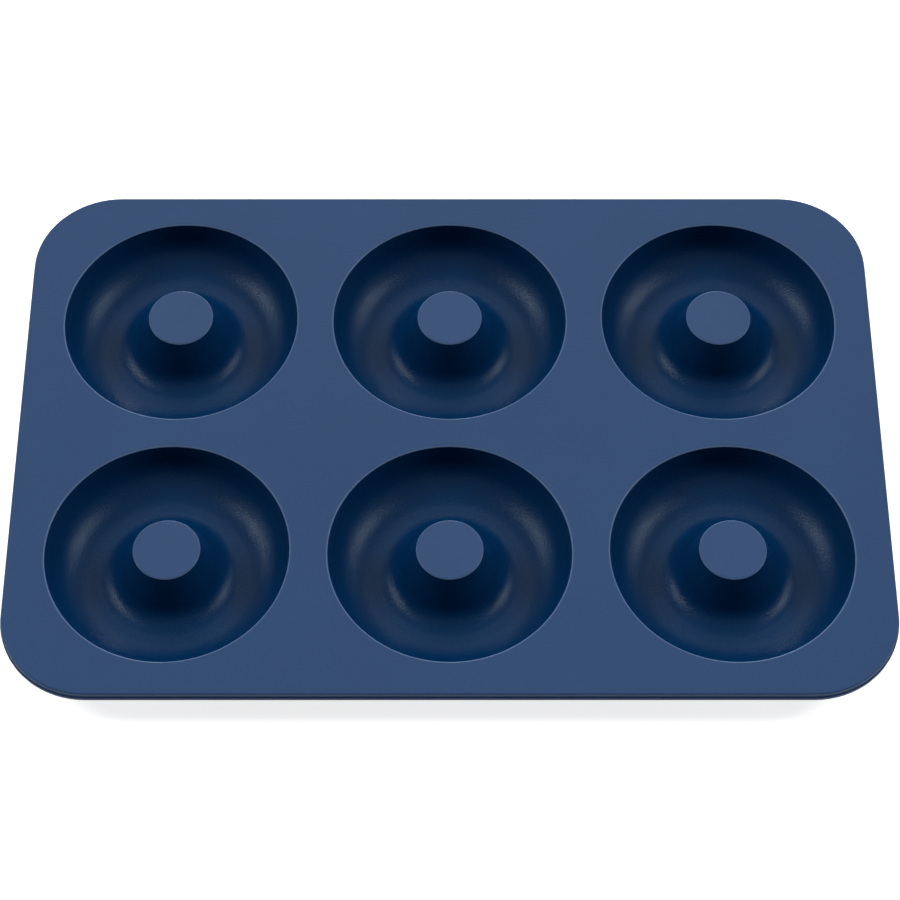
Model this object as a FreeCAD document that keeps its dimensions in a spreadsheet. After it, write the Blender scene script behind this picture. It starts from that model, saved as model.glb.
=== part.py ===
"""A silicone doughnut pan with six ring cavities, moulded in one piece.

A flat plate with rounded corners carries the cups. Each cup is a thin wall turned about its own upright
axis: it drops from the plate's top, sweeps round the ring-shaped hollow and climbs again to a round pin in
the middle, which is open underneath. All lengths are in millimetres and all angles in degrees. The pan
stands on the flat foot rings under its cups, at Z = 0, and the origin is under the middle of the plate.
"""

import FreeCAD, Part
import math
import os

import Sketcher

SIZES = (
    ("cups_across", 3, "cups along X"),
    ("cups_deep", 2, "cups along Y"),
    ("mouth_diameter", 75.0, "mouth of one cup, in the plate's top face"),
    ("cup_depth", 15.0, "from the plate's top face to the floor of the ring"),
    ("web_across", 11.4, "plate between two mouths along X"),
    ("web_deep", 10.1, "plate between two mouths along Y"),
    ("side_margin", 11.4, "plate outside the last mouth along X"),
    ("end_margin", 10.7, "plate outside the last mouth along Y"),
    ("corner_radius", 27.0, "corner of the plate seen from above"),
    ("upper_height", 2.2, "upper layer of the plate, above the parting step"),
    ("lower_height", 1.4, "lower layer of the plate, below the parting step"),
    ("step_width", 0.4, "how far the lower layer stands out at the parting step"),
    ("upper_round", 0.5, "round of the plate's upper edge"),
    ("lower_round", 0.4, "round of the plate's lower edge"),
    ("collar_width", 4.5, "plate that is turned with each cup, round its mouth"),
    ("wall", 1.8, "thickness of the cup"),
    ("rim_round", 0.7, "round of the mouth's edge"),
    ("wall_draft", 12.5, "lean of the ring's outer wall"),
    ("wall_height", 6.1, "straight part of the ring's outer wall, from the plate's top"),
    ("floor_width", 2.0, "flat of the ring's floor, next to the heel"),
    ("sweep_angle", 37.0, "how far the wide arc of the floor turns before the tighter one takes over"),
    ("pin_diameter", 20.4, "top of the pin"),
    ("pin_rise", 1.2, "pin's top above the plate's top"),
    ("pin_draft", 21.5, "lean of the pin's side"),
    ("pin_round", 0.6, "round of the pin's top edge"),
    ("heel_round", 8.0, "heel, the sweep from the pin's side to the ring's floor"),
    ("pin_cap", 1.8, "thickness of the pin's top"),
    ("hollow_round", 1.5, "round at the top of the hollow under the pin"),
    ("under_round", 1.5, "round where the cup leaves the plate's underside"),
)

START, END, CENTRE = range(1, 4)
LEVEL_AXIS, UPRIGHT_AXIS = range(-1, -3, -1)
ORIGIN_POINT = (LEVEL_AXIS, START)
UP = FreeCAD.Vector(0, 0, 1)


def make_sheet(doc):
    """The driving sizes, one row each: name, value, meaning."""
    sheet = doc.addObject("Spreadsheet::Sheet", "sizes")
    for row, (name, value, meaning) in enumerate(SIZES, start=1):
        sheet.set(f"A{row}", name)
        sheet.set(f"B{row}", str(value))
        sheet.set(f"C{row}", meaning)
        sheet.setAlias(f"B{row}", name)
    doc.recompute()
    return sheet


def plane(body, role):
    """One of the body's own origin planes."""
    return next(f for f in body.Origin.OriginFeatures if f.Role == role)


def new_sketch(body, name, role, offsets):
    """A sketch on an origin plane, moved in its own X, Y and Z by the expressions in offsets."""
    sketch = body.newObject("Sketcher::SketchObject", name)
    sketch.AttachmentSupport = (plane(body, role), [""])
    sketch.MapMode = "FlatFace"
    for axis, expression in offsets.items():
        sketch.setExpression(f"AttachmentOffset.Base.{axis}", expression)
    return sketch


def line(sketch, x0, y0, x1, y1):
    """Adds a straight line and gives its number."""
    return sketch.addGeometry(Part.LineSegment(FreeCAD.Vector(x0, y0, 0), FreeCAD.Vector(x1, y1, 0)), False)


def arc(sketch, x, y, radius, first, last):
    """Adds an arc about (x, y), counter-clockwise from first to last in degrees, and gives its number."""
    circle = Part.Circle(FreeCAD.Vector(x, y, 0), UP, radius)
    return sketch.addGeometry(Part.ArcOfCircle(circle, math.radians(first), math.radians(last)), False)


def rule(sketch, *facts):
    """Adds a constraint that holds without a size."""
    return sketch.addConstraint(Sketcher.Constraint(*facts))


def size(sketch, name, expression, *facts):
    """Adds a constraint with a size, which follows an expression of the sheet."""
    sketch.renameConstraint(rule(sketch, *facts), name)
    sketch.setExpression(f"Constraints.{name}", expression)


def span(values, direction, margin):
    """Length of the plate's upper part along X (across) or Y (deep)."""
    cups = values[f"cups_{direction}"]
    return cups * values["mouth_diameter"] + (cups - 1) * values[f"web_{direction}"] + 2 * values[margin]


SPAN_ACROSS = (
    "(sizes.cups_across * sizes.mouth_diameter + (sizes.cups_across - 1) * sizes.web_across"
    " + 2 * sizes.side_margin)"
)
SPAN_DEEP = (
    "(sizes.cups_deep * sizes.mouth_diameter + (sizes.cups_deep - 1) * sizes.web_deep"
    " + 2 * sizes.end_margin)"
)
PITCH_ACROSS = "(sizes.mouth_diameter + sizes.web_across)"
PITCH_DEEP = "(sizes.mouth_diameter + sizes.web_deep)"
FIRST_X = f"-(sizes.cups_across - 1) * {PITCH_ACROSS} / 2"
FIRST_Y = f"-(sizes.cups_deep - 1) * {PITCH_DEEP} / 2"
TOP = "(sizes.cup_depth + sizes.wall)"
PIN_TOP = f"({TOP} + sizes.pin_rise)"
STEP_Z = f"({TOP} - sizes.upper_height)"
UNDERSIDE = f"({STEP_Z} - sizes.lower_height)"


def rounded_rectangle(sketch, width, depth, radius, grown, names):
    """A rectangle with round corners about the sketch's origin. names are its three sizes' expressions."""
    x, y = width / 2 + grown, depth / 2 + grown
    r = radius + grown
    right = line(sketch, x, r - y, x, y - r)
    right_rear = arc(sketch, x - r, y - r, r, 0, 90)
    rear = line(sketch, x - r, y, r - x, y)
    left_rear = arc(sketch, r - x, y - r, r, 90, 180)
    left = line(sketch, -x, y - r, -x, r - y)
    left_front = arc(sketch, r - x, r - y, r, 180, 270)
    front = line(sketch, r - x, -y, x - r, -y)
    right_front = arc(sketch, x - r, r - y, r, 270, 360)
    ring = (right, right_rear, rear, left_rear, left, left_front, front, right_front)
    for this, following in zip(ring, ring[1:] + ring[:1]):
        rule(sketch, "Tangent", this, END, following, START)
    rule(sketch, "Vertical", right)
    rule(sketch, "Horizontal", rear)
    rule(sketch, "Vertical", left)
    rule(sketch, "Horizontal", front)
    for other in (left_rear, left_front, right_front):
        rule(sketch, "Equal", right_rear, other)
    rule(sketch, "Symmetric", right_rear, CENTRE, left_front, CENTRE, *ORIGIN_POINT)
    width_name, depth_name, radius_name = names
    size(sketch, "width", width_name, "DistanceX", left, START, right, END, 2 * x)
    size(sketch, "depth", depth_name, "DistanceY", front, START, rear, START, 2 * y)
    size(sketch, "radius", radius_name, "Radius", right_rear, r)


def pad_plate(body, values):
    """The flat plate in its two layers: the lower one stands out a little at the parting step."""
    width = span(values, "across", "side_margin")
    depth = span(values, "deep", "end_margin")
    layers = (
        ("lower", UNDERSIDE, values["step_width"], " + {} * sizes.step_width"),
        ("upper", STEP_Z, 0, ""),
    )
    for layer, height, grown, extra in layers:
        sketch = new_sketch(body, f"{layer}_outline", "XY_Plane", {"z": height})
        names = (
            SPAN_ACROSS + extra.format(2),
            SPAN_DEEP + extra.format(2),
            "sizes.corner_radius" + extra.format(1),
        )
        rounded_rectangle(sketch, width, depth, values["corner_radius"], grown, names)
        pad = body.newObject("PartDesign::Pad", f"{layer}_layer")
        pad.Profile = sketch
        pad.Length = values[f"{layer}_height"]
        pad.setExpression("Length", f"sizes.{layer}_height")
        body.Document.recompute()


def level_edges(shape, height):
    """Names of the shape's edges that lie flat at one height."""
    found = []
    for number, edge in enumerate(shape.Edges, start=1):
        box = edge.BoundBox
        if abs(box.ZMin - height) < 1e-4 and abs(box.ZMax - height) < 1e-4:
            found.append(f"Edge{number}")
    return found


def round_edges(body, name, height, radius):
    """Rounds every edge of the body's newest feature that lies at one height."""
    base = body.Tip
    fillet = body.newObject("PartDesign::Fillet", name)
    fillet.Base = (base, level_edges(base.Shape, height))
    fillet.Radius = 0.1
    fillet.setExpression("Radius", radius)
    body.Document.recompute()


def repeat(body, name, feature, layout):
    """Copies a feature to every cup's place."""
    pattern = body.newObject("PartDesign::LinearPattern", name)
    pattern.Originals = [feature]
    pattern.Direction = (layout, ["H_Axis"])
    pattern.Mode = "Extent"
    pattern.setExpression("Length", f"(sizes.cups_across - 1) * {PITCH_ACROSS}")
    pattern.setExpression("Occurrences", "sizes.cups_across")
    pattern.Direction2 = (layout, ["V_Axis"])
    pattern.Mode2 = "Extent"
    pattern.setExpression("Length2", f"(sizes.cups_deep - 1) * {PITCH_DEEP}")
    pattern.setExpression("Occurrences2", "sizes.cups_deep")
    body.Tip = pattern
    body.Document.recompute()


def open_plate(body, values):
    """Cuts the round seats of the cups through the plate."""
    sketch = new_sketch(body, "seat_outline", "XY_Plane", {"x": FIRST_X, "y": FIRST_Y, "z": TOP})
    radius = values["mouth_diameter"] / 2 + values["collar_width"]
    seat = sketch.addGeometry(Part.Circle(FreeCAD.Vector(0, 0, 0), UP, radius), False)
    rule(sketch, "Coincident", seat, CENTRE, *ORIGIN_POINT)
    size(sketch, "radius", "sizes.mouth_diameter / 2 + sizes.collar_width", "Radius", seat, radius)
    pocket = body.newObject("PartDesign::Pocket", "seat")
    pocket.Profile = sketch
    pocket.Type = "ThroughAll"
    pocket.Midplane = True
    body.Document.recompute()
    repeat(body, "seats", pocket, body.getObject("upper_outline"))


def cup_section(sketch, v):
    """The wall of one cup, cut through its axis. X is the distance from the axis and Y the height.

    The upper chain runs from the plate's top over the mouth's edge, down the outer wall, round two arcs to
    the ring's floor, round the heel and up the pin. The lower chain is the same at one wall's distance, and
    closes on the plate's underside. The flat of the floor is where the pan stands.
    """
    top, floor = v["cup_depth"] + v["wall"], v["wall"]
    pin_top = top + v["pin_rise"]
    underside = top - v["upper_height"] - v["lower_height"]
    ceiling = pin_top - v["pin_cap"]
    mouth, pin = v["mouth_diameter"] / 2, v["pin_diameter"] / 2
    seat = mouth + v["collar_width"]
    wall, rim, tip, heel = v["wall"], v["rim_round"], v["pin_round"], v["heel_round"]
    hollow, under = v["hollow_round"], v["under_round"]
    lean, pin_lean, turn = v["wall_draft"], v["pin_draft"], v["sweep_angle"]
    sin_o, cos_o = math.sin(math.radians(lean)), math.cos(math.radians(lean))
    sin_p, cos_p = math.sin(math.radians(pin_lean)), math.cos(math.radians(pin_lean))
    sin_t, cos_t = math.sin(math.radians(turn)), math.cos(math.radians(turn))

    # The heel joins the pin's side to the flat floor. The sweep's two arcs cover what is left.
    heel_x = pin + (heel + sin_p * (pin_top - floor - heel)) / cos_p
    flat = heel_x + v["floor_width"]
    width = mouth - flat - v["wall_height"] * sin_o / cos_o
    drop = v["cup_depth"] - v["wall_height"]
    shares = sin_t * (cos_t - sin_o) - (1 - cos_t) * (cos_o - sin_t)
    wide = (width * (cos_t - sin_o) - drop * (cos_o - sin_t)) / shares
    tight = (drop * sin_t - width * (1 - cos_t)) / shares

    # Centres of the arcs, from the tangency of each to the lines beside it.
    rim_x = mouth + rim * (1 - sin_o) / cos_o
    tight_x = flat + (wide - tight) * sin_t
    tight_y = floor + wide - (wide - tight) * cos_t
    tip_x = pin - tip * (1 - sin_p) / cos_p
    hollow_x = pin + (sin_p * (pin_top - ceiling + hollow) - wall - hollow) / cos_p
    under_x = mouth + (sin_o * (underside - under - top) + wall + under) / cos_o

    def on_wall(x, y, radius):
        """The point of an arc about (x, y) where it touches the outer wall or a line parallel to it."""
        return x + radius * cos_o, y - radius * sin_o

    def on_pin(x, y, radius):
        """The same for the pin's side."""
        return x - radius * cos_p, y - radius * sin_p

    # Upper chain, from the seat to the axis.
    land = line(sketch, seat, top, rim_x, top)
    rim_arc = arc(sketch, rim_x, top - rim, rim, 90, 180 - lean)
    rim_foot = (rim_x - rim * cos_o, top - rim + rim * sin_o)
    outer_wall = line(sketch, *on_wall(tight_x, tight_y, tight), *rim_foot)
    tight_arc = arc(sketch, tight_x, tight_y, tight, 270 + turn, 360 - lean)
    wide_arc = arc(sketch, flat, floor + wide, wide, 270, 270 + turn)
    floor_line = line(sketch, flat, floor, heel_x, floor)
    heel_arc = arc(sketch, heel_x, floor + heel, heel, 180 + pin_lean, 270)
    tip_foot = (tip_x + tip * cos_p, pin_top - tip + tip * sin_p)
    pin_side = line(sketch, *on_pin(heel_x, floor + heel, heel), *tip_foot)
    tip_arc = arc(sketch, tip_x, pin_top - tip, tip, pin_lean, 90)
    pin_face = line(sketch, tip_x, pin_top, 0, pin_top)
    axis = line(sketch, 0, pin_top, 0, ceiling)

    # Lower chain, from the axis back to the seat.
    ceiling_line = line(sketch, 0, ceiling, hollow_x, ceiling)
    hollow_arc = arc(sketch, hollow_x, ceiling - hollow, hollow, pin_lean, 90)
    hollow_top = (hollow_x + hollow * cos_p, ceiling - hollow + hollow * sin_p)
    hollow_side = line(sketch, *on_pin(heel_x, floor + heel, heel + wall), *hollow_top)
    heel_under = arc(sketch, heel_x, floor + heel, heel + wall, 180 + pin_lean, 270)
    foot = line(sketch, heel_x, 0, flat, 0)
    wide_under = arc(sketch, flat, floor + wide, wide + wall, 270, 270 + turn)
    tight_under = arc(sketch, tight_x, tight_y, tight + wall, 270 + turn, 360 - lean)
    under_top = (under_x - under * cos_o, underside - under + under * sin_o)
    outer_side = line(sketch, *on_wall(tight_x, tight_y, tight + wall), *under_top)
    under_arc = arc(sketch, under_x, underside - under, under, 90, 180 - lean)
    under_face = line(sketch, under_x, underside, seat, underside)
    seat_side = line(sketch, seat, underside, seat, top)

    tangents = (
        (land, END, rim_arc, START),
        (rim_arc, END, outer_wall, END),
        (outer_wall, START, tight_arc, END),
        (tight_arc, START, wide_arc, END),
        (wide_arc, START, floor_line, START),
        (floor_line, END, heel_arc, END),
        (heel_arc, START, pin_side, START),
        (pin_side, END, tip_arc, START),
        (tip_arc, END, pin_face, START),
        (ceiling_line, END, hollow_arc, END),
        (hollow_arc, START, hollow_side, END),
        (hollow_side, START, heel_under, START),
        (heel_under, END, foot, START),
        (foot, END, wide_under, START),
        (wide_under, END, tight_under, START),
        (tight_under, END, outer_side, START),
        (outer_side, END, under_arc, END),
        (under_arc, START, under_face, START),
    )
    for facts in tangents:
        rule(sketch, "Tangent", *facts)
    corners = (
        (pin_face, END, axis, START),
        (axis, END, ceiling_line, START),
        (under_face, END, seat_side, START),
        (seat_side, END, land, START),
    )
    for facts in corners:
        rule(sketch, "Coincident", *facts)
    for level in (land, floor_line, pin_face, ceiling_line, foot, under_face):
        rule(sketch, "Horizontal", level)
    for upright in (axis, seat_side):
        rule(sketch, "Vertical", upright)
    rule(sketch, "PointOnObject", axis, START, UPRIGHT_AXIS)
    for lower, upper in ((heel_under, heel_arc), (wide_under, wide_arc), (tight_under, tight_arc)):
        rule(sketch, "Coincident", lower, CENTRE, upper, CENTRE)
    rule(sketch, "Parallel", hollow_side, pin_side)
    rule(sketch, "Parallel", outer_side, outer_wall)

    # The sharp corners that the mouth and the pin are measured at, and the line that marks the sweep's turn.
    mouth_corner = sketch.addGeometry(Part.Point(FreeCAD.Vector(mouth, top, 0)), True)
    rule(sketch, "PointOnObject", mouth_corner, START, land)
    rule(sketch, "PointOnObject", mouth_corner, START, outer_wall)
    pin_corner = sketch.addGeometry(Part.Point(FreeCAD.Vector(pin, pin_top, 0)), True)
    rule(sketch, "PointOnObject", pin_corner, START, pin_face)
    rule(sketch, "PointOnObject", pin_corner, START, pin_side)
    turn_line = line(sketch, tight_x, tight_y, tight_x + tight * sin_t, tight_y - tight * cos_t)
    sketch.setConstruction(turn_line, True)
    rule(sketch, "Coincident", turn_line, START, tight_arc, CENTRE)
    rule(sketch, "Coincident", turn_line, END, tight_arc, START)

    def across(name, expression, item, value):
        size(sketch, name, expression, "DistanceX", *ORIGIN_POINT, item, START, value)

    def high(name, expression, item, value):
        size(sketch, name, expression, "DistanceY", *ORIGIN_POINT, item, START, value)

    across("seat_radius", "sizes.mouth_diameter / 2 + sizes.collar_width", seat_side, seat)
    across("mouth_radius", "sizes.mouth_diameter / 2", mouth_corner, mouth)
    across("pin_radius", "sizes.pin_diameter / 2", pin_corner, pin)
    high("top", TOP, land, top)
    high("floor", "sizes.wall", floor_line, floor)
    high("wall_foot", f"{TOP} - sizes.wall_height", outer_wall, top - v["wall_height"])
    high("pin_top", PIN_TOP, pin_face, pin_top)
    high("underside", UNDERSIDE, under_face, underside)
    flat_ends = (floor_line, END, floor_line, START)
    size(sketch, "flat", "sizes.floor_width", "DistanceX", *flat_ends, v["floor_width"])
    size(sketch, "cap", "sizes.pin_cap", "DistanceY", axis, END, axis, START, v["pin_cap"])
    size(sketch, "wall_angle", "90 - sizes.wall_draft", "Angle", outer_wall, math.radians(90 - lean))
    size(sketch, "pin_angle", "90 + sizes.pin_draft", "Angle", pin_side, math.radians(90 + pin_lean))
    size(sketch, "turn_angle", "sizes.sweep_angle - 90", "Angle", turn_line, math.radians(turn - 90))
    size(sketch, "foot", "sizes.wall", "DistanceY", foot, END, floor_line, START, floor)
    size(sketch, "rim_round", "sizes.rim_round", "Radius", rim_arc, rim)
    size(sketch, "heel_round", "sizes.heel_round", "Radius", heel_arc, heel)
    size(sketch, "pin_round", "sizes.pin_round", "Radius", tip_arc, tip)
    size(sketch, "hollow_round", "sizes.hollow_round", "Radius", hollow_arc, hollow)
    size(sketch, "under_round", "sizes.under_round", "Radius", under_arc, under)


def turn_cups(body, values):
    """Turns the first cup about its axis and repeats it in every seat."""
    sketch = new_sketch(body, "cup_section", "XZ_Plane", {"x": FIRST_X, "z": f"-({FIRST_Y})"})
    cup_section(sketch, values)
    body.Document.recompute()
    cup = body.newObject("PartDesign::Revolution", "cup")
    cup.Profile = sketch
    cup.ReferenceAxis = (sketch, ["V_Axis"])
    cup.Angle = 360
    body.Document.recompute()
    repeat(body, "cups", cup, body.getObject("upper_outline"))


def check(doc):
    """Stops if any object failed to rebuild, or if a sketch isn't fully held."""
    for item in doc.Objects:
        if {"Invalid", "Error"} & set(item.State):
            raise RuntimeError(f"{item.Name} did not rebuild: {item.State}")
        if item.TypeId == "Sketcher::SketchObject" and not item.FullyConstrained:
            raise RuntimeError(f"{item.Name} is not fully constrained")


def write_part(body):
    """Writes the body as a STEP file named after its label."""
    shape = body.Shape
    if shape.isNull() or not shape.isValid() or len(shape.Solids) != 1:
        raise RuntimeError(f"{body.Label} is not one valid solid")
    os.makedirs("parts", exist_ok=True)
    shape.exportStep(os.path.join("parts", f"{body.Label}.step"))
    box = shape.optimalBoundingBox()
    extent = f"{box.XLength:.2f} x {box.YLength:.2f} x {box.ZLength:.2f} mm"
    print(f"{body.Label}: {extent}, {shape.Volume:.0f} mm3")


def main():
    """Builds the pan and writes it."""
    doc = FreeCAD.newDocument("doughnut_pan")
    sheet = make_sheet(doc)
    values = {name: sheet.get(name) for name, _, _ in SIZES}
    body = doc.addObject("PartDesign::Body", "pan")
    body.Label = "doughnut_pan"
    pad_plate(body, values)
    top = values["cup_depth"] + values["wall"]
    underside = top - values["upper_height"] - values["lower_height"]
    round_edges(body, "upper_edge", top, "sizes.upper_round")
    round_edges(body, "lower_edge", underside, "sizes.lower_round")
    open_plate(body, values)
    turn_cups(body, values)
    doc.recompute()
    check(doc)
    write_part(body)


main()
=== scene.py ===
"""A silicone doughnut pan with six ring cavities on a plain white stage.

The pan is one closed surface in metres: +X along its long side, +Y away from the viewer, +Z up, and Z = 0 at the
foot rings that it stands on. Its section is a chain of lines and tangent arcs, turned about the axis of each cup.
The plate is ruled from each cup's seat to the edges of that cup's own field, and its edge is a second chain,
carried round the outline.
"""

import math

import bpy
import numpy as np
from bpy.props import FloatProperty, FloatVectorProperty, IntProperty, PointerProperty
from mathutils import Matrix


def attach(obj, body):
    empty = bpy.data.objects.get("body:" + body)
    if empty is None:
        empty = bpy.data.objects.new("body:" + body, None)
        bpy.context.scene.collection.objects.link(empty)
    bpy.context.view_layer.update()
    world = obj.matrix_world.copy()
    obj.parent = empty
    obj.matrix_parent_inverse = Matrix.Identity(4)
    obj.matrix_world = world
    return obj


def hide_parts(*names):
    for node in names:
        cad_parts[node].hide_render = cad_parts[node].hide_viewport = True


bl_info = {
    "name": "Doughnut Pan",
    "version": (1, 0, 0),
    "blender": (4, 5, 0),
    "location": "View3D > Sidebar > Doughnut Pan",
    "description": "Models a flexible doughnut pan and the white stage it is shown on",
    "category": "Add Mesh",
}

NODE = "doughnut_pan"
MM = 0.001

# How much of the lighter tone, a painted highlight on the edges' rounds, the pins' tops and the pins' edges take. The
# mouths' edges take all of it.
PIN_TOP_HIGHLIT = 0.06
PIN_EDGE_HIGHLIGHT = 0.6

# The noise textures keep mostly between these two values.
NOISE_LOW, NOISE_HIGH = 0.3, 0.7

# The faint mottling: patches for each metre, and how far their tone differs.
HAZE_SCALE = 28.0
HAZE_DEPTH = 0.03

# Softboxes as azimuth from the front, elevation and spread, in degrees. The side ones come in pairs.
SIDE_BOXES = {"high": (104, 50, 44), "middle": (99, 44, 21), "low": (90, 14, 30)}
MIDDLE_BOXES = {"back_high": (180, 48, 40), "back_low": (180, 10, 24), "front_low": (0, 12, 30)}

SENSOR_WIDTH = 36.0
FLOOR_REACH = 6.0

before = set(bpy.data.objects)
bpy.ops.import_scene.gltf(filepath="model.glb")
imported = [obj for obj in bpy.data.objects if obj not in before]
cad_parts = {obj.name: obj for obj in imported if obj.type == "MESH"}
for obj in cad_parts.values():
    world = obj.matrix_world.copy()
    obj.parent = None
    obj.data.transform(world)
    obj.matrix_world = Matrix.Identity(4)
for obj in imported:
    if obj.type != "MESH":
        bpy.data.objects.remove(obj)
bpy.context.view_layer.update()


def length(name, description, millimetres):
    """A length, shown in the scene's unit."""
    return FloatProperty(name=name, description=description, default=millimetres * MM, unit="LENGTH", precision=5)


def angle(name, description, degrees):
    """An angle, shown in degrees."""
    return FloatProperty(name=name, description=description, default=math.radians(degrees), unit="ROTATION")


def share(name, description, value):
    """A share from 0 to 1."""
    return FloatProperty(name=name, description=description, default=value, min=0.0, max=1.0, subtype="FACTOR")


def power(name, description, value):
    """The strength of a softbox."""
    return FloatProperty(name=name, description=description, default=value, min=0.0)


def colour(name, description, *value):
    """A linear colour."""
    return FloatVectorProperty(name=name, description=description, default=value, subtype="COLOR", min=0.0, max=1.0)


class PanSizes(bpy.types.PropertyGroup):
    """Sizes of the moulding."""

    cups_across: IntProperty(name="Cups across", description="Cups along X", default=3, min=1)
    cups_deep: IntProperty(name="Cups deep", description="Cups along Y", default=2, min=1)
    mouth: length("Mouth", "Diameter of a cup's mouth in the plate's top face", 75.0)
    cup_depth: length("Cup depth", "From the plate's top face to the floor of the ring", 15.0)
    web_across: length("Web across", "Plate between two mouths along X", 11.4)
    web_deep: length("Web deep", "Plate between two mouths along Y", 10.1)
    side_margin: length("Side margin", "Plate outside the last mouth along X", 11.4)
    end_margin: length("End margin", "Plate outside the last mouth along Y", 10.7)
    corner: length("Corner", "Radius of the plate's upper layer at its corners", 27.0)
    upper_height: length("Upper layer", "Height of the plate above the parting step", 2.2)
    lower_height: length("Lower layer", "Height of the plate below the parting step", 1.4)
    step: length("Step", "How far the lower layer stands out at the parting step", 0.4)
    upper_round: length("Upper round", "Round of the plate's upper edge", 0.5)
    lower_round: length("Lower round", "Round of the plate's lower edge", 0.4)
    step_round: length("Step round", "Rounds in and on the parting step", 0.1)
    collar: length("Collar", "Plate that is turned with each cup, round its mouth", 4.5)
    wall: length("Wall", "Thickness of a cup", 1.8)
    rim_round: length("Rim round", "Round of the mouth's edge", 0.7)
    wall_draft: angle("Wall draft", "Lean of the ring's outer wall", 12.5)
    wall_height: length("Wall height", "Straight part of the outer wall, from the plate's top", 6.1)
    floor_width: length("Floor width", "Flat of the ring's floor, next to the heel", 2.0)
    sweep: angle("Sweep", "How far the wide arc turns before the tighter one takes over", 37.0)
    pin: length("Pin", "Diameter of the pin's top", 20.4)
    pin_rise: length("Pin rise", "Pin's top above the plate's top", 1.2)
    pin_draft: angle("Pin draft", "Lean of the pin's side", 21.5)
    pin_round: length("Pin round", "Round of the pin's top edge", 0.6)
    heel_round: length("Heel round", "Heel, the sweep from the pin's side to the ring's floor", 8.0)
    pin_cap: length("Pin cap", "Thickness of the pin's top", 1.8)
    hollow_round: length("Hollow round", "Round at the top of the hollow under the pin", 1.5)
    under_round: length("Under round", "Round where a cup leaves the plate's underside", 1.5)
    azimuths: IntProperty(name="Azimuths", description="Steps round a cup, a multiple of 4", default=160, min=16)


class SiliconeFinish(bpy.types.PropertyGroup):
    """Colours and finish of the silicone."""

    plate: colour("Plate", "Colour of the matte plate and the pins' tops", 0.0246, 0.0572, 0.1375)
    cup: colour("Cup", "Colour of the satin cups", 0.0006, 0.0222, 0.0770)
    # The lighter tone painted on the rounds of the mouths and of the pins' tops: a painted highlight.
    rubbed: colour("Highlit", "Lighter colour of the rubbed edges", 0.1150, 0.1800, 0.3150)
    plate_roughness: share("Plate roughness", "Roughness of the matte plate", 0.36)
    cup_roughness: share("Cup roughness", "Roughness of the satin cups", 0.22)
    grain: length("Grain", "Width of one grain of the blasted finish", 0.5)
    cup_relief: length("Cup relief", "Height of the grain in the cups", 0.045)
    plate_relief: length("Plate relief", "Height of the grain on the plate", 0.01)
    cup_fleck: share("Cup fleck", "How far a grain's tone differs in the cups", 0.3)
    plate_fleck: share("Plate fleck", "How far a grain's tone differs on the plate", 0.06)


class StageSettings(bpy.types.PropertyGroup):
    """Camera and light."""

    lens: FloatProperty(name="Lens", description="Focal length on a 36 mm sensor, in mm", default=105.54, min=1.0)
    eye_height: length("Eye height", "Camera above the plate's top face", 706.8)
    eye_back: length("Eye back", "Camera in front of the pan's middle", 430.5)
    eye_side: length("Eye side", "Camera to the right of the pan's middle", -0.56)
    look_down: angle("Look down", "Camera's slope below the horizon", 59.04)
    look_side: angle("Look side", "Camera's turn to the left", -0.089)
    roll: angle("Roll", "Camera's roll", 0.072)
    floor_glow: share("Floor glow", "How far the floor's own white shows to the camera, before light", 0.8)
    side_high: power("Side, high", "High softboxes at the left and the right", 0.2)
    side_middle: power("Side, middle", "Middle softboxes at the left and the right", 1.5)
    side_low: power("Side, low", "Low softboxes at the left and the right", 0.30)
    back_high: power("Back, high", "High softbox behind the pan", 0.85)
    back_low: power("Back, low", "Low softbox behind the pan", 1.6)
    front_low: power("Front, low", "Faint low softbox at the front", 0.07)


def on_arc(x, y, radius, first, last, count, inward=False):
    """Points and normals along an arc: centre plus radius times (cos, sin) of an even run of angles in degrees.

    The normals are the arc's rays, turned round where the material lies outside the arc.
    """
    turn = np.radians(np.linspace(first, last, count))
    ray = np.stack([np.cos(turn), np.sin(turn)], axis=1)
    return np.array([x, y]) + radius * ray, -ray if inward else ray


def chain(parts, steps):
    """Joins arcs by straight runs into one line of points and normals.

    steps says into how many equal parts each run is divided, and is 0 between arcs that touch. A run keeps the
    normal of the arc that it reaches.
    """
    points, normals = [parts[0][0]], [parts[0][1]]
    for (before, _), (after, after_normal), count in zip(parts, parts[1:], steps):
        along = np.linspace(0.0, 1.0, count + 1)[1:-1, None] if count else np.zeros((0, 1))
        run = before[-1] * (1.0 - along) + after[0] * along
        fresh = slice(None) if count else slice(1, None)
        points += [run, after[fresh]]
        normals += [np.repeat(after_normal[:1], len(run), axis=0), after_normal[fresh]]
    return np.concatenate(points), np.concatenate(normals)


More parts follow.
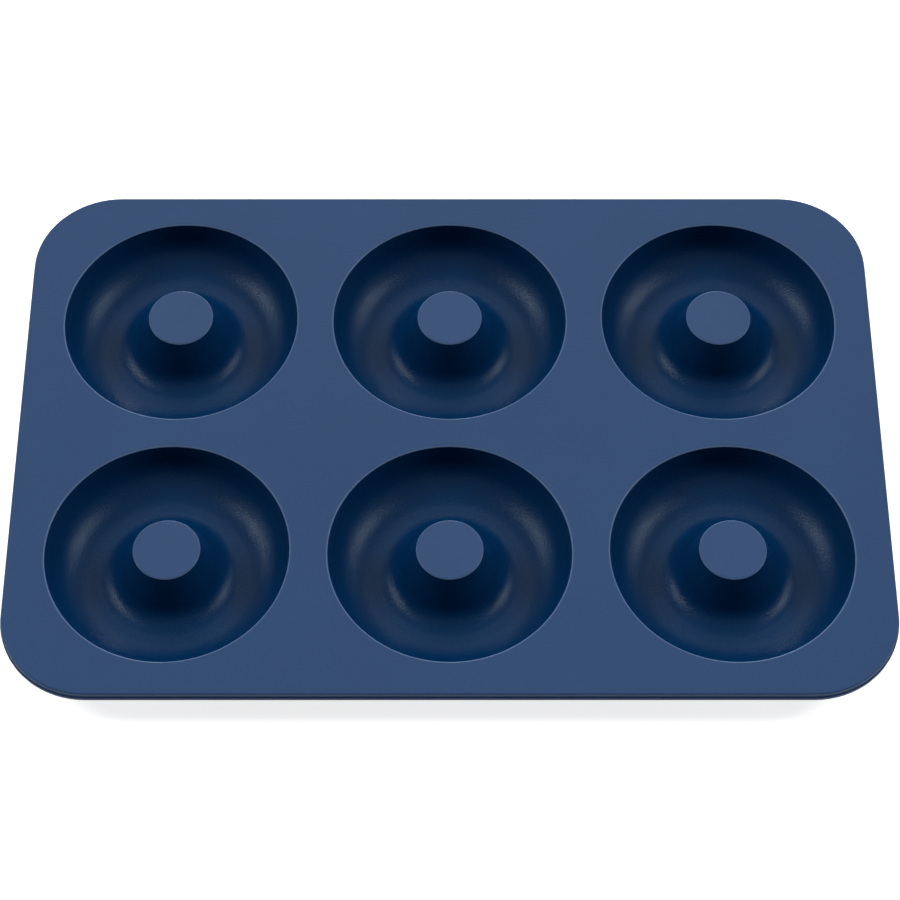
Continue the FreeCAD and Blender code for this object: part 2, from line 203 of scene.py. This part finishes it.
class Section:
    """The section of one cup and of the plate's edge, worked out from the sizes as tangent lines and arcs."""

    def __init__(self, sizes):
        self.s = s = sizes
        self.mouth, self.pin = s.mouth / 2, s.pin / 2
        self.seat = self.mouth + s.collar
        self.floor = s.wall
        self.top = s.cup_depth + s.wall
        self.pin_top = self.top + s.pin_rise
        self.step_height = self.top - s.upper_height
        self.underside = self.step_height - s.lower_height
        self.ceiling = self.pin_top - s.pin_cap
        self.lean, self.pin_lean, self.turn = (math.degrees(v) for v in (s.wall_draft, s.pin_draft, s.sweep))
        sin_o, cos_o = math.sin(s.wall_draft), math.cos(s.wall_draft)
        sin_p, cos_p = math.sin(s.pin_draft), math.cos(s.pin_draft)
        sin_t, cos_t = math.sin(s.sweep), math.cos(s.sweep)
        self.heel_x = self.pin + (s.heel_round + sin_p * (self.pin_top - self.floor - s.heel_round)) / cos_p
        self.flat = self.heel_x + s.floor_width
        width = self.mouth - self.flat - s.wall_height * sin_o / cos_o
        drop = s.cup_depth - s.wall_height
        shares = sin_t * (cos_t - sin_o) - (1 - cos_t) * (cos_o - sin_t)
        self.wide = (width * (cos_t - sin_o) - drop * (cos_o - sin_t)) / shares
        self.tight = (drop * sin_t - width * (1 - cos_t)) / shares
        self.tight_x = self.flat + (self.wide - self.tight) * sin_t
        self.tight_y = self.floor + self.wide - (self.wide - self.tight) * cos_t
        self.rim_x = self.mouth + s.rim_round * (1 - sin_o) / cos_o
        self.tip_x = self.pin - s.pin_round * (1 - sin_p) / cos_p
        from_top = self.pin_top - self.ceiling + s.hollow_round
        self.hollow_x = self.pin + (sin_p * from_top - s.wall - s.hollow_round) / cos_p
        from_mouth = self.underside - s.under_round - self.top
        self.under_x = self.mouth + (sin_o * from_mouth + s.wall + s.under_round) / cos_o

    def upper(self):
        """From the axis over the pin, the ring and the mouth's edge to the seat, as (distance, height)."""
        s, up = self.s, np.array([[0.0, 1.0]])
        heel_y, wide_y = self.floor + s.heel_round, self.floor + self.wide
        parts = (
            (np.array([[0.0, self.pin_top]]), up),
            on_arc(self.tip_x, self.pin_top - s.pin_round, s.pin_round, 90, self.pin_lean, 6),
            on_arc(self.heel_x, heel_y, s.heel_round, 180 + self.pin_lean, 270, 11, True),
            on_arc(self.flat, wide_y, self.wide, 270, 270 + self.turn, 10, True),
            on_arc(self.tight_x, self.tight_y, self.tight, 270 + self.turn, 360 - self.lean, 12, True),
            on_arc(self.rim_x, self.top - s.rim_round, s.rim_round, 180 - self.lean, 90, 7),
            (np.array([[self.seat, self.top]]), up),
        )
        return chain(parts, (4, 2, 1, 0, 3, 1))

    def lower(self):
        """From the axis under the pin, the ring and the wall to the seat, as (distance, height)."""
        s, down = self.s, np.array([[0.0, -1.0]])
        heel_y, wide_y = self.floor + s.heel_round, self.floor + self.wide
        hollow_y, under_y = self.ceiling - s.hollow_round, self.underside - s.under_round
        parts = (
            (np.array([[0.0, self.ceiling]]), down),
            on_arc(self.hollow_x, hollow_y, s.hollow_round, 90, self.pin_lean, 5, True),
            on_arc(self.heel_x, heel_y, s.heel_round + s.wall, 180 + self.pin_lean, 270, 8),
            on_arc(self.flat, wide_y, self.wide + s.wall, 270, 270 + self.turn, 7),
            on_arc(self.tight_x, self.tight_y, self.tight + s.wall, 270 + self.turn, 360 - self.lean, 8),
            on_arc(self.under_x, under_y, s.under_round, 180 - self.lean, 90, 5, True),
            (np.array([[self.seat, self.underside]]), down),
        )
        return chain(parts, (3, 2, 1, 0, 2, 1))

    def edge(self):
        """The plate's edge from its top face to its underside, as (distance outside the top face, height)."""
        s = self.s
        ledge = s.upper_round + s.step
        parts = (
            on_arc(0.0, self.top - s.upper_round, s.upper_round, 90, 0, 6),
            on_arc(s.upper_round + s.step_round, self.step_height + s.step_round, s.step_round, 180, 270, 3, True),
            on_arc(ledge - s.step_round, self.step_height - s.step_round, s.step_round, 90, 0, 3),
            on_arc(ledge - s.lower_round, self.underside + s.lower_round, s.lower_round, 0, -90, 5),
        )
        return chain(parts, (2, 1, 1))


class Plan:
    """The plan of the plate: the cups' axes and, round each cup, the edge of its own field.

    A field is the part of the plate's top face that is nearer to its cup than to another. Rays from the cup's axis
    meet its edge, which is a line halfway to the next cup or the plate's rounded outline.
    """

    def __init__(self, section):
        s = section.s
        self.pitch = np.array([s.mouth + s.web_across, s.mouth + s.web_deep])
        cups = np.array([s.cups_across, s.cups_deep])
        self.half = (cups * self.pitch - [s.web_across, s.web_deep]) / 2 + [s.side_margin, s.end_margin]
        self.half -= s.upper_round
        self.radius = s.corner - s.upper_round
        self.drop_out = s.upper_round + s.step - s.lower_round
        across, deep = ((np.arange(n) - (n - 1) / 2) * p for n, p in zip(cups, self.pitch))
        self.axes = np.stack(np.meshgrid(across, deep), axis=-1).reshape(-1, 2)
        outer = self.half - (cups - 1) / 2 * self.pitch
        inner = self.pitch / 2
        corners = [math.atan2(inner[1], inner[0]), math.atan2(outer[1], inner[0]), math.atan2(inner[1], outer[0])]
        quarter = np.linspace(0.0, math.pi / 2, s.azimuths // 4 + 1)
        for corner in corners:
            quarter[np.argmin(abs(quarter - corner))] = corner
        half_turn = np.concatenate([quarter, math.pi - quarter[-2:0:-1]])
        self.azimuth = np.concatenate([half_turn, half_turn + math.pi])
        self.rays = np.stack([np.cos(self.azimuth), np.sin(self.azimuth)], axis=1)

    def field(self, axis):
        """Where the rays from one cup's axis leave its field, and which way the outline faces there, or zero."""
        low = np.where(axis <= -self.half + self.pitch, -self.half, axis - self.pitch / 2)
        high = np.where(axis >= self.half - self.pitch, self.half, axis + self.pitch / 2)
        limit = np.where(self.rays > 0, high, low) - axis
        with np.errstate(divide="ignore"):
            reach = np.abs(limit / self.rays).min(axis=1)
        ends = axis + reach[:, None] * self.rays
        middle = self.half - self.radius
        beyond = np.abs(ends) > middle + 1e-9
        in_corner = beyond.all(axis=1)
        offset = axis - np.sign(ends) * middle
        along = (offset * self.rays).sum(axis=1)
        rest = (offset ** 2).sum(axis=1) - self.radius ** 2
        round_reach = np.sqrt(np.maximum(along ** 2 - rest, 0.0)) - along
        ends = np.where(in_corner[:, None], axis + round_reach[:, None] * self.rays, ends)
        facing = np.where(np.abs(np.abs(ends) - self.half) < 1e-9, np.sign(ends), 0.0)
        facing = np.where(in_corner[:, None], (ends - np.sign(ends) * middle) / self.radius, facing)
        return ends, facing


def quads(first, second, around):
    """Four-sided faces between two rows of vertex numbers, the second to the right of the first.

    around closes the rows into rings.
    """
    if around:
        first, second = (np.append(row, row[:1]) for row in (first, second))
    return np.stack([first[:-1], second[:-1], second[1:], first[1:]], axis=1)


def swept(line, ways, origin):
    """A grid with a row for each point of the line: origin plus its distance times each way, at its height."""
    across = origin + line[:, None, :1] * ways
    return np.concatenate([across, np.broadcast_to(line[:, None, 1:], (*across.shape[:2], 1))], axis=2)


def top_finish(section, line, line_normal):
    """The satin share and the share of the painted highlight, a lighter tone, of each point of a cup's upper line.

    Both follow how far the normal of an edge's round has turned, from 0 at the cup's side to 1 on top: satin is one
    minus that, and the painted highlight is one bow of a sine. All the rest is satin without the painted highlight,
    but the pins' tops keep at least a faint share of the lighter tone.
    """
    on_pin = line[:, 0] < section.flat
    side = np.sin(np.where(on_pin, section.s.pin_draft, section.s.wall_draft))
    level = np.clip((line_normal[:, 1] - side) / (1 - side), 0, 1)
    on_top = line[:, 1] > section.top - section.s.rim_round * 1.01
    satin = np.where(on_top, 1.0 - level, 1.0)
    # The painted highlight follows a sine over each round; the pins' edges take only part of it.
    rubbed = np.where(on_top, np.sin(math.pi * level), 0.0) * np.where(on_pin, PIN_EDGE_HIGHLIGHT, 1.0)
    on_pin_top = line[:, 1] > section.pin_top - MM * 0.1
    return satin, np.where(on_pin_top, np.maximum(rubbed, PIN_TOP_HIGHLIT), rubbed)


def pan_surface(sizes):
    """Vertices, normals, satin and painted highlight shares, quads and triangles of the whole pan.

    A cup's point is its axis plus distance times the ray, at the section's height. A plate's point lies on the
    straight line from the seat to the field's edge. The edge's point is the outline plus distance times the way the
    outline faces. The satin share is 1 in the cups and below the plate, and 0 on the plate and the pins' tops. The
    share of the painted highlight, a lighter tone, is highest on the rounds of the mouths and of the pins' tops.
    """
    section = Section(sizes)
    plan = Plan(section)
    around = len(plan.rays)
    plate_shares = np.linspace(0.0, 1.0, 4)[1:-1]
    points, normals, satin, rubbed, four, three = [], [], [], [], [], []
    used = 0

    def add(place, normal, share_of_satin, share_of_highlight=0.0):
        """Adds rows of vertices and gives their numbers."""
        nonlocal used
        numbers = np.arange(used, used + place[..., 0].size).reshape(place.shape[:-1])
        points.append(place.reshape(-1, 3))
        normals.append(np.broadcast_to(normal, place.shape).reshape(-1, 3))
        satin.append(np.broadcast_to(share_of_satin, place.shape[:-1]).reshape(-1))
        rubbed.append(np.broadcast_to(share_of_highlight, place.shape[:-1]).reshape(-1))
        used += numbers.size
        return numbers

    fields = [plan.field(axis) for axis in plan.axes]
    ends = np.concatenate([end for end, _ in fields])
    facing = np.concatenate([way for _, way in fields])
    _, first, shared = np.unique(np.round(ends / 1e-6), axis=0, return_index=True, return_inverse=True)
    ends, facing = ends[first], facing[first]
    shared = shared.reshape(len(plan.axes), around)

    sides = (
        (section.upper(), section.top, ends, 1.0, 0.0),
        (section.lower(), section.underside, ends + facing * plan.drop_out, -1.0, 1.0),
    )
    borders = []
    for (line, line_normal), height, border, way, plate_satin in sides:
        place = np.column_stack([border, np.full(len(border), height)])
        border_numbers = add(place, (0.0, 0.0, way), plate_satin)
        borders.append(border_numbers)
        # Satin and painted highlight shares along the line; only the upper line takes the painted highlight.
        row_satin, row_highlight = np.full(len(line), plate_satin), np.zeros(len(line))
        if way > 0:
            row_satin, row_highlight = top_finish(section, line, line_normal)
        for axis, edge in zip(plan.axes, shared):
            pole = add(np.array([[*axis, line[0, 1]]]), (0.0, 0.0, way), row_satin[0], row_highlight[0])
            place = swept(line[1:], plan.rays, axis)
            cup = add(place, swept(line_normal[1:], plan.rays, 0.0), row_satin[1:, None], row_highlight[1:, None])
            seat = place[-1, :, :2]
            flat = seat + plate_shares[:, None, None] * (border[edge] - seat)
            place = np.concatenate([flat, np.full((*flat.shape[:2], 1), height)], axis=2)
            plate = add(place, (0.0, 0.0, way), plate_satin)
            rows = np.concatenate([cup, plate, border_numbers[edge][None]])
            faces = np.concatenate([quads(a, b, True) for a, b in zip(rows, rows[1:])])
            fan = np.stack([np.repeat(pole, around), cup[0], np.roll(cup[0], -1)], axis=1)
            four.append(faces if way > 0 else faces[:, ::-1])
            three.append(fan if way > 0 else fan[:, ::-1])

    outline = np.flatnonzero((facing != 0).any(axis=1))
    outline = outline[np.argsort(np.arctan2(ends[outline, 1], ends[outline, 0]))]
    start, way = ends[outline], facing[outline]
    line, line_normal = section.edge()
    strip = add(swept(line[1:-1], way, start), swept(line_normal[1:-1], way, 0.0), 0.0)
    rows = np.concatenate([borders[0][outline][None], strip, borders[1][outline][None]])
    four.append(np.concatenate([quads(a, b, True) for a, b in zip(rows, rows[1:])]))
    return tuple(np.concatenate(part) for part in (points, normals, satin, rubbed, four, three))


def make_mesh(name, points, normals, four, three):
    """A smooth mesh object from vertices with their normals, four-sided faces and triangles."""
    mesh = bpy.data.meshes.new(name)
    corners = np.concatenate([four.ravel(), three.ravel()])
    starts = np.concatenate([np.arange(len(four)) * 4, four.size + np.arange(len(three)) * 3])
    mesh.vertices.add(len(points))
    mesh.vertices.foreach_set("co", points.ravel())
    mesh.loops.add(len(corners))
    mesh.loops.foreach_set("vertex_index", corners)
    mesh.polygons.add(len(starts))
    mesh.polygons.foreach_set("loop_start", starts)
    mesh.polygons.foreach_set("use_smooth", np.ones(len(starts), dtype=bool))
    mesh.update(calc_edges=True)
    mesh.validate()
    mesh.normals_split_custom_set_from_vertices(normals)
    thing = bpy.data.objects.new(name, mesh)
    bpy.context.scene.collection.objects.link(thing)
    return thing


class NodeSheet:
    """Small helper to lay out the nodes of a material or a world, its owner, and to join them."""

    def __init__(self, owner):
        self.owner = owner
        owner.use_nodes = True
        self.tree = owner.node_tree
        self.tree.nodes.clear()

    def node(self, kind, sockets=None, **settings):
        """Adds a node, sets its properties and gives its named sockets their constant values."""
        node = self.tree.nodes.new(kind)
        for key, value in settings.items():
            setattr(node, key, value)
        for name, value in (sockets or {}).items():
            node.inputs[name].default_value = value
        return node

    def join(self, source, target):
        """Links one socket to another."""
        self.tree.links.new(source, target)

    def ranged(self, source, low, high, first=0.0, last=1.0):
        """Carries a socket's range from first..last over to low..high, and gives the new socket."""
        sockets = {"From Min": first, "From Max": last, "To Min": low, "To Max": high}
        node = self.node("ShaderNodeMapRange", sockets)
        self.join(source, node.inputs["Value"])
        return node.outputs["Result"]

    def noise(self, place, sockets):
        """A noise texture at the socket place, and gives its value's socket."""
        node = self.node("ShaderNodeTexNoise", sockets, noise_dimensions="3D")
        self.join(place, node.inputs["Vector"])
        return node.outputs["Fac"]

    def seen_by(self, *rays):
        """A socket that is 1 for these kinds of Light Path's rays and 0 for the others: the largest of them."""
        path = self.node("ShaderNodeLightPath")
        seen = path.outputs[rays[0]]
        for ray in rays[1:]:
            largest = self.node("ShaderNodeMath", operation="MAXIMUM")
            self.join(seen, largest.inputs[0])
            self.join(path.outputs[ray], largest.inputs[1])
            seen = largest.outputs["Value"]
        return seen


def silicone(finish):
    """Slate navy silicone: matte and a little hazy on the plate, satin with a fine blasted grain in the cups.

    The colour goes from the plate's to the cup's by the satin share, then to a lighter tone, painted as a highlight
    on the edges' rounds, by that highlight's share, and is scaled by the haze plus the grain's height about its
    middle times the fleck.
    """
    sheet = NodeSheet(bpy.data.materials.new("slate_silicone"))
    place = sheet.node("ShaderNodeTexCoord").outputs["Object"]
    satin = sheet.node("ShaderNodeAttribute", attribute_name="satin").outputs["Fac"]
    # Share of the painted highlight on the rounds of the mouths and the pins' tops.
    rubbed = sheet.node("ShaderNodeAttribute", attribute_name="rubbed").outputs["Fac"]
    grain = sheet.noise(place, {"Scale": 1.0 / finish.grain, "Detail": 2.0, "Roughness": 0.6})
    grain = sheet.ranged(grain, 0.0, 1.0, NOISE_LOW, NOISE_HIGH)
    haze = sheet.noise(place, {"Scale": HAZE_SCALE, "Detail": 4.0})
    haze = sheet.ranged(haze, 1.0 - HAZE_DEPTH, 1.0 + HAZE_DEPTH, NOISE_LOW, NOISE_HIGH)

    tone = sheet.node("ShaderNodeMix", data_type="RGBA")
    tone.inputs["A"].default_value = (*finish.plate, 1.0)
    tone.inputs["B"].default_value = (*finish.cup, 1.0)
    sheet.join(satin, tone.inputs["Factor"])
    # Mixes in the lighter tone: a painted highlight on the edges' rounds.
    edge = sheet.node("ShaderNodeMix", data_type="RGBA")
    edge.inputs["B"].default_value = (*finish.rubbed, 1.0)
    sheet.join(tone.outputs["Result"], edge.inputs["A"])
    sheet.join(rubbed, edge.inputs["Factor"])
    centred = sheet.node("ShaderNodeMath", operation="SUBTRACT")
    centred.inputs[1].default_value = 0.5
    sheet.join(grain, centred.inputs[0])
    fleck = sheet.node("ShaderNodeMath", operation="MULTIPLY_ADD")
    sheet.join(centred.outputs["Value"], fleck.inputs[0])
    sheet.join(sheet.ranged(satin, finish.plate_fleck, finish.cup_fleck), fleck.inputs[1])
    sheet.join(haze, fleck.inputs[2])
    shaded = sheet.node("ShaderNodeVectorMath", operation="SCALE")
    sheet.join(edge.outputs["Result"], shaded.inputs[0])
    sheet.join(fleck.outputs["Value"], shaded.inputs["Scale"])

    bump = sheet.node("ShaderNodeBump", {"Strength": 1.0})
    sheet.join(sheet.ranged(satin, finish.plate_relief, finish.cup_relief), bump.inputs["Distance"])
    sheet.join(grain, bump.inputs["Height"])

    gloss = {"IOR": 1.42, "Specular IOR Level": 0.12, "Specular Tint": (0.77, 0.91, 1.0, 1.0)}
    shader = sheet.node("ShaderNodeBsdfPrincipled", gloss)
    sheet.join(shaded.outputs["Vector"], shader.inputs["Base Color"])
    sheet.join(sheet.ranged(satin, finish.plate_roughness, finish.cup_roughness), shader.inputs["Roughness"])
    sheet.join(bump.outputs["Normal"], shader.inputs["Normal"])
    out = sheet.node("ShaderNodeOutputMaterial")
    sheet.join(shader.outputs["BSDF"], out.inputs["Surface"])
    return sheet.owner


def white_floor(glow):
    """A white floor that takes the pan's shadow and otherwise shows white to the camera and in reflections."""
    sheet = NodeSheet(bpy.data.materials.new("white_floor"))
    paint = sheet.node("ShaderNodeBsdfDiffuse", {"Color": (0.8, 0.8, 0.8, 1.0)})
    white = sheet.node("ShaderNodeEmission", {"Color": (1.0, 1.0, 1.0, 1.0)})
    strength = sheet.node("ShaderNodeMath", operation="MULTIPLY")
    strength.inputs[1].default_value = glow
    sheet.join(sheet.seen_by("Is Camera Ray", "Is Glossy Ray"), strength.inputs[0])
    sheet.join(strength.outputs["Value"], white.inputs["Strength"])
    both = sheet.node("ShaderNodeAddShader")
    sheet.join(paint.outputs["BSDF"], both.inputs[0])
    sheet.join(white.outputs["Emission"], both.inputs[1])
    out = sheet.node("ShaderNodeOutputMaterial")
    sheet.join(both.outputs["Shader"], out.inputs["Surface"])
    return sheet.owner


def set_world():
    """A world that shows white to the camera and in reflections and transmissions, and lights nothing else."""
    sheet = NodeSheet(bpy.data.worlds.new("studio"))
    white = sheet.node("ShaderNodeBackground", {"Color": (1.0, 1.0, 1.0, 1.0)})
    sheet.join(sheet.seen_by("Is Camera Ray", "Is Glossy Ray", "Is Transmission Ray"), white.inputs["Strength"])
    out = sheet.node("ShaderNodeOutputWorld")
    sheet.join(white.outputs["Background"], out.inputs["Surface"])
    bpy.context.scene.world = sheet.owner


def soft_light(name, way, box, strength):
    """A distant softbox, seen from the pan as a disc.

    box is its azimuth from the front, its elevation and its spread. way is 1 for that azimuth, towards the right,
    and -1 for the same box mirrored to the left.
    """
    turn, rise, spread = (math.radians(value) for value in box)
    turn *= way
    back = np.array([math.sin(turn) * math.cos(rise), -math.cos(turn) * math.cos(rise), math.sin(rise)])
    lamp = bpy.data.lights.new(name, "SUN")
    lamp.angle = spread
    lamp.energy = strength
    thing = bpy.data.objects.new(name, lamp)
    bpy.context.scene.collection.objects.link(thing)
    right = np.array([math.cos(turn), math.sin(turn), 0.0])
    put(thing, right, np.cross(back, right), back, back)


def put(thing, right, up, back, eye):
    """Puts a lamp or a camera, which look along their own -Z, at eye with the given axes."""
    turned = np.stack([right, up, back, eye], axis=1)
    thing.matrix_world = Matrix([*turned.tolist(), [0, 0, 0, 1]])


def set_camera(stage, plate_top):
    """A camera on a 36 mm sensor, turned by the stage's angles about the upright, level and viewing axes."""
    look_down, look_side, roll = stage.look_down, stage.look_side, stage.roll
    back = np.array([
        math.sin(look_side) * math.cos(look_down),
        -math.cos(look_side) * math.cos(look_down),
        math.sin(look_down),
    ])
    level = np.array([math.cos(look_side), math.sin(look_side), 0.0])
    steep = np.cross(back, level)
    right = math.cos(roll) * level + math.sin(roll) * steep
    up = -math.sin(roll) * level + math.cos(roll) * steep
    view = bpy.data.cameras.new("camera")
    view.lens, view.sensor_width = stage.lens, SENSOR_WIDTH
    view.clip_start, view.clip_end = 0.01, 20.0
    thing = bpy.data.objects.new("camera", view)
    bpy.context.scene.collection.objects.link(thing)
    put(thing, right, up, back, (stage.eye_side, -stage.eye_back, plate_top + stage.eye_height))
    bpy.context.scene.camera = thing


class PAN_OT_moulding(bpy.types.Operator):
    """Make the pan's moulding in place of its plain solid"""

    bl_idname = "doughnut_pan.moulding"
    bl_label = "Moulding"

    def execute(self, context):
        points, normals, satin, rubbed, four, three = pan_surface(context.scene.pan_sizes)
        pan = make_mesh("pan_moulding", points, normals, four, three)
        # Stores the satin share and the share of the painted highlight on the mesh.
        for name, shares in (("satin", satin), ("rubbed", rubbed)):
            layer = pan.data.attributes.new(name, "FLOAT", "POINT")
            layer.data.foreach_set("value", shares.astype(np.float32))
        pan.data.materials.append(silicone(context.scene.pan_finish))
        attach(pan, "root")
        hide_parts(NODE)
        return {"FINISHED"}


class PAN_OT_stage(bpy.types.Operator):
    """Set the floor, the soft lamps and the camera"""

    bl_idname = "doughnut_pan.stage"
    bl_label = "Stage"

    def execute(self, context):
        sizes, stage = context.scene.pan_sizes, context.scene.pan_stage
        corners = FLOOR_REACH * np.array([[-1, -1, 0], [1, -1, 0], [1, 1, 0], [-1, 1, 0]])
        ups = np.tile([0.0, 0.0, 1.0], (4, 1))
        floor = make_mesh("floor", corners, ups, np.array([[0, 1, 2, 3]]), np.zeros((0, 3), dtype=int))
        floor.data.materials.append(white_floor(stage.floor_glow))
        set_world()
        for side, way in (("left", -1), ("right", 1)):
            for level, box in SIDE_BOXES.items():
                soft_light(f"{side}_{level}", way, box, getattr(stage, f"side_{level}"))
        for name, box in MIDDLE_BOXES.items():
            soft_light(name, 1, box, getattr(stage, name))
        set_camera(stage, sizes.cup_depth + sizes.wall)
        bpy.context.scene.view_settings.view_transform = "Standard"
        return {"FINISHED"}


class PAN_PT_sidebar(bpy.types.Panel):
    """Sizes, finish and stage of the pan"""

    bl_label = "Doughnut Pan"
    bl_space_type = "VIEW_3D"
    bl_region_type = "UI"
    bl_category = "Doughnut Pan"

    def draw(self, context):
        layout = self.layout
        for group, operator in (
            (context.scene.pan_sizes, PAN_OT_moulding),
            (context.scene.pan_finish, None),
            (context.scene.pan_stage, PAN_OT_stage),
        ):
            box = layout.box()
            for name in group.__annotations__:
                box.prop(group, name)
            if operator:
                box.operator(operator.bl_idname)


CLASSES = (PanSizes, SiliconeFinish, StageSettings, PAN_OT_moulding, PAN_OT_stage, PAN_PT_sidebar)


def register():
    """Adds the classes and their settings to Blender."""
    for item in CLASSES:
        bpy.utils.register_class(item)
    bpy.types.Scene.pan_sizes = PointerProperty(type=PanSizes)
    bpy.types.Scene.pan_finish = PointerProperty(type=SiliconeFinish)
    bpy.types.Scene.pan_stage = PointerProperty(type=StageSettings)


def unregister():
    """Takes the classes and their settings out again."""
    del bpy.types.Scene.pan_stage
    del bpy.types.Scene.pan_finish
    del bpy.types.Scene.pan_sizes
    for item in reversed(CLASSES):
        bpy.utils.unregister_class(item)


def main():
    """Makes the pan and its stage."""
    register()
    bpy.ops.doughnut_pan.moulding()
    bpy.ops.doughnut_pan.stage()


if __name__ == "__main__":
    main()
